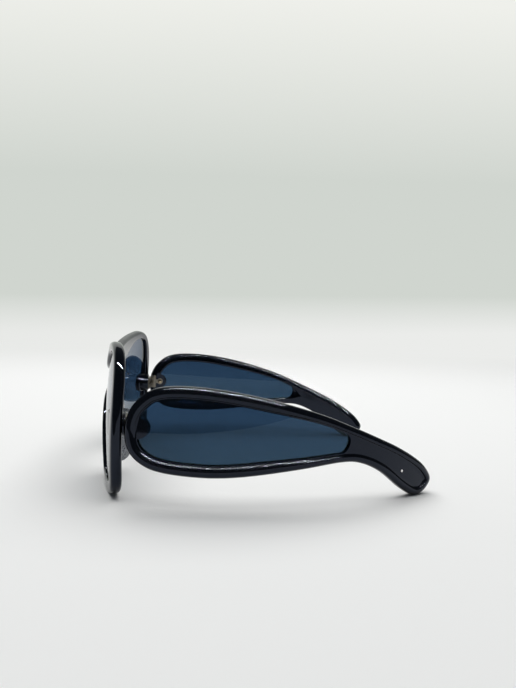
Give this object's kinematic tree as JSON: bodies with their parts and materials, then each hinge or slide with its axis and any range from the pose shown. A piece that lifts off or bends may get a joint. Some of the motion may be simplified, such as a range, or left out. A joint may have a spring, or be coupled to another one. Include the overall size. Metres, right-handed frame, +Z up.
{
  "type": "oversized sunglasses",
  "caption": "Oversized black acetate shield sunglasses: one dark wrapped lens over the nose, and broad teardrop temples with dark side lenses that fold on vertical barrel hinges.",
  "frame": {"origin": "bottom centre of the bounding box, on the surface that the front's lower edges and the temple tips stand on", "axes": "+Z up; the front faces -Y and the open temples run towards +Y; +X is the wearer's left"},
  "size_m": [0.159, 0.1482, 0.0627],
  "materials": {
    "acetate": "gloss",
    "lens": "gloss",
    "pad": "satin",
    "hinge_steel": "satin",
    "rivet_brass": "satin"
  },
  "bodies": {
    "front": {"front_rim": "acetate", "mask_lens": "lens", "left_nose_pad": "pad", "right_nose_pad": "pad", "left_front_hinge": "hinge_steel", "right_front_hinge": "hinge_steel", "left_front_rivets": "rivet_brass", "right_front_rivets": "rivet_brass", "left_hinge_screw": "hinge_steel", "right_hinge_screw": "hinge_steel"},
    "left_arm": {"left_temple": "acetate", "left_side_lens": "lens", "left_temple_hinge": "hinge_steel", "left_temple_rivet": "rivet_brass", "left_tail_pin": "hinge_steel"},
    "right_arm": {"right_temple": "acetate", "right_side_lens": "lens", "right_temple_hinge": "hinge_steel", "right_temple_rivet": "rivet_brass", "right_tail_pin": "hinge_steel"}
  },
  "joints": [
    {"name": "left_fold", "type": "hinge", "parent": "front", "child": "left_arm", "pos_m": [0.0665, -0.05529, 0.0307], "axis": [0, 0, 1], "range_deg": [0, 84]},
    {"name": "right_fold", "type": "hinge", "parent": "front", "child": "right_arm", "pos_m": [-0.0665, -0.05529, 0.0307], "axis": [0, 0, -1], "range_deg": [0, 76]}
  ]
}
